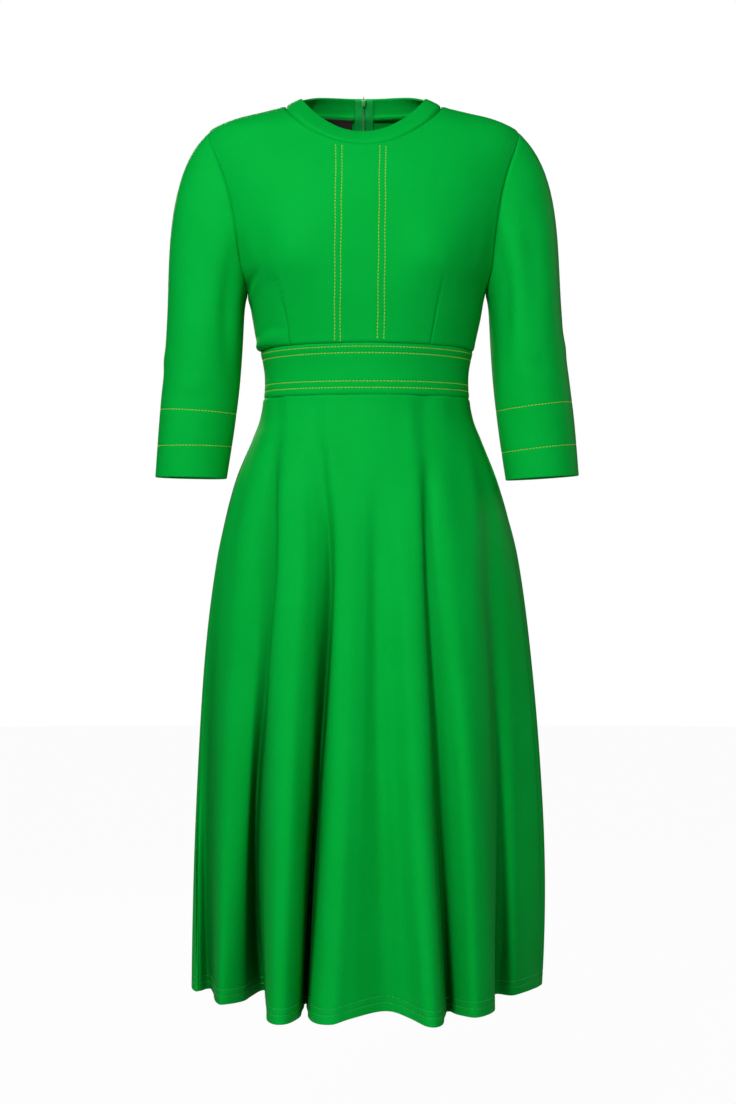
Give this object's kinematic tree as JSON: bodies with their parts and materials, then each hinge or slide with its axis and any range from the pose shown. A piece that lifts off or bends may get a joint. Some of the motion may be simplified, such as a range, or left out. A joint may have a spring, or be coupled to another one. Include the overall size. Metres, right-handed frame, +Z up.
{
  "type": "fit and flare dress",
  "caption": "Knitted fit and flare midi dress, filled out as worn, with three-quarter sleeves, an inset waistband, a flared skirt and a zip down the back.",
  "frame": {"origin": "midway between the neck ends of the two shoulder seams, where the wearer's shoulders hold the dress", "axes": "+Z up along the body, -Y towards the front, +X to the viewer's right when looking at the front"},
  "size_m": [0.5265, 0.424, 1.1313],
  "materials": {
    "knit": "dyed double knit with a soft sheen",
    "thread": "topstitching thread",
    "tape": "woven tape",
    "coil": "moulded coil",
    "slider": "lacquered",
    "label": "woven satin"
  },
  "bodies": {
    "dress": {"bodice_front": "knit", "bodice_back_left": "knit", "bodice_back_right": "knit", "sleeve_left": "knit", "sleeve_right": "knit", "neckband": "knit", "waistband_front": "knit", "waistband_back_left": "knit", "waistband_back_right": "knit", "skirt_front": "knit", "skirt_back_left": "knit", "skirt_back_right": "knit", "zip_tape_left": "tape", "zip_tape_right": "tape", "zip_chain": "coil", "zip_stop": "slider", "zip_slider": "slider", "neck_label": "label"},
    "pull": {"zip_pull_tab": "slider"}
  },
  "joints": [
    {"name": "pull_tab_hinge", "type": "hinge", "parent": "dress", "child": "pull", "pos_m": [-0.0037, 0.06697, 0.01727], "axis": [1, 0, 0], "range_deg": [0, 175]}
  ]
}
